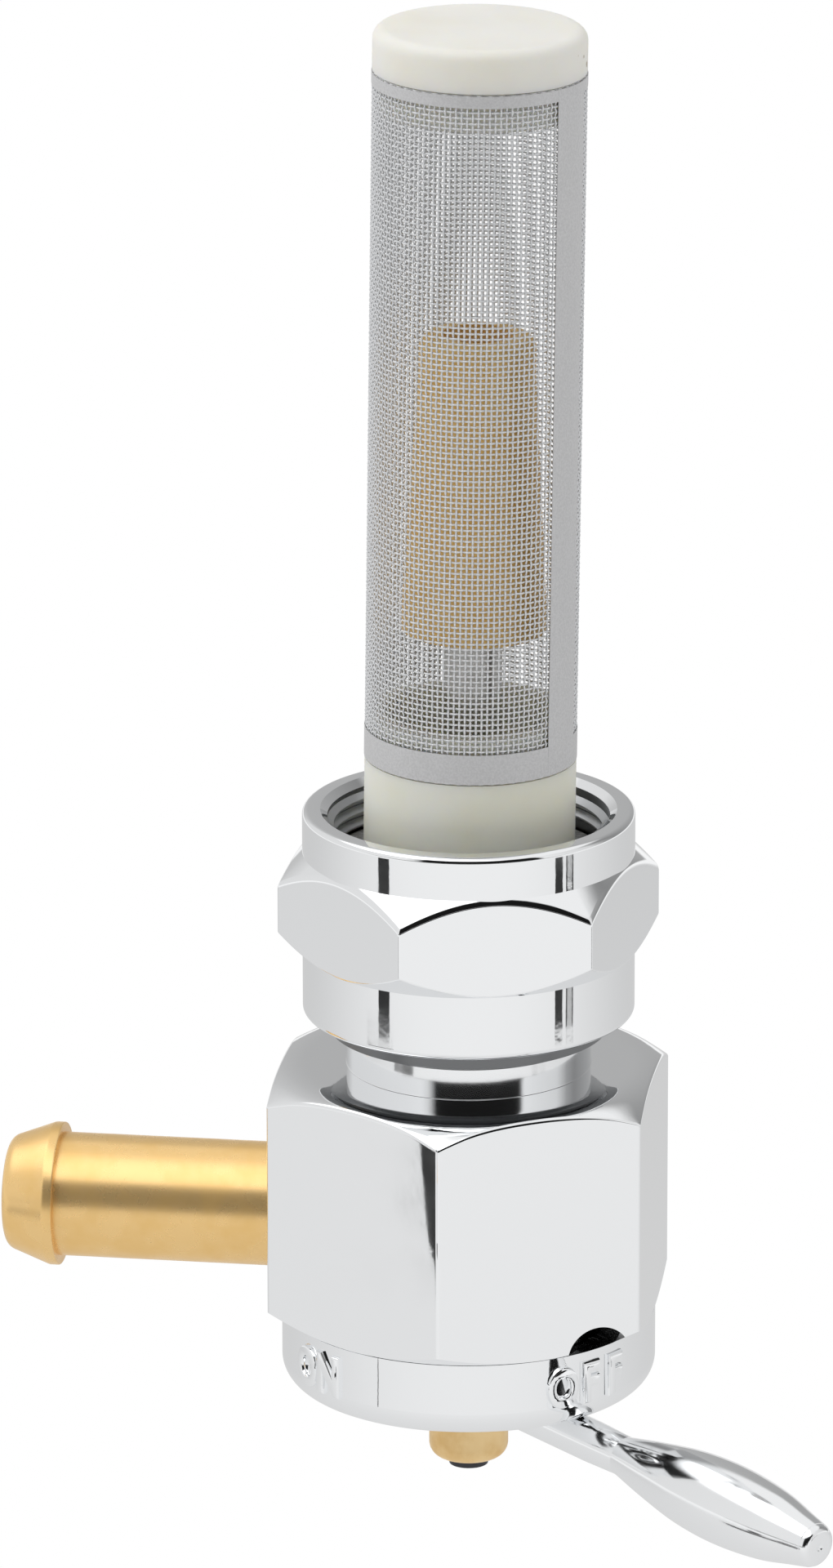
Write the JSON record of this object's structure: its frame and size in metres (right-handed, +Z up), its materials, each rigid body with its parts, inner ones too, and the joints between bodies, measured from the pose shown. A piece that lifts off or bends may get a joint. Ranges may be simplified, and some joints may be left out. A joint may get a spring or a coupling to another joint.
{
  "type": "fuel tap",
  "caption": "Chromed hexagonal fuel tap with a tall mesh screen, union nut, side hose spigot and a turning lever under the body.",
  "frame": {"origin": "on the valve axis, level with the rim of the union nut, where the tank's threaded bung enters", "axes": "+Z up along the valve axis into the tank; the hose spigot points along -X; at rest the lever lies at -45 degrees from +X, in the OFF position"},
  "size_m": [0.0669, 0.0413, 0.1135],
  "materials": {
    "chrome": "bright chrome plate on turned and milled metal",
    "brass": "turned bare brass",
    "steel": "plain bright steel",
    "mesh": "woven stainless wire, plain weave",
    "nylon": "moulded ivory nylon",
    "rubber": "black fuel-proof rubber",
    "fibre": "pressed grey fibre"
  },
  "bodies": {
    "body": {"valve_body": "chrome", "neck_gasket": "fibre", "hose_spigot": "brass", "screen_collar": "nylon", "screen_mesh": "mesh", "screen_cap": "nylon", "standpipe": "steel", "standpipe_sleeve": "brass", "inlet_seat": "brass", "seat_ring": "rubber", "port_seal": "rubber", "gland_washer": "brass", "stem_ring": "rubber", "detent_spring": "steel", "stop_pin": "steel"},
    "nut": {"union_nut": "chrome"},
    "lever": {"rotor": "brass", "rotor_ring": "rubber", "rotor_spring": "steel", "lever_cap": "chrome", "lever": "chrome", "lever_screw": "steel"},
    "detent": {"detent_ball": "steel"}
  },
  "joints": [
    {"name": "lever_turn", "type": "hinge", "parent": "body", "child": "lever", "pos_m": [0, 0, -0.0325], "axis": [0, 0, 1], "range_deg": [-90, 90]},
    {"name": "nut_turn", "type": "hinge", "parent": "body", "child": "nut", "pos_m": [0, 0, -0.008], "axis": [0, 0, 1], "continuous": true},
    {"name": "detent_travel", "type": "slide", "parent": "body", "child": "detent", "axis": [0.7547, -0.6561, 0], "range_m": [0, 0.00035], "stiffness_N_per_m": 500, "springref_m": 0.00035, "deforming": ["detent_spring"]}
  ]
}
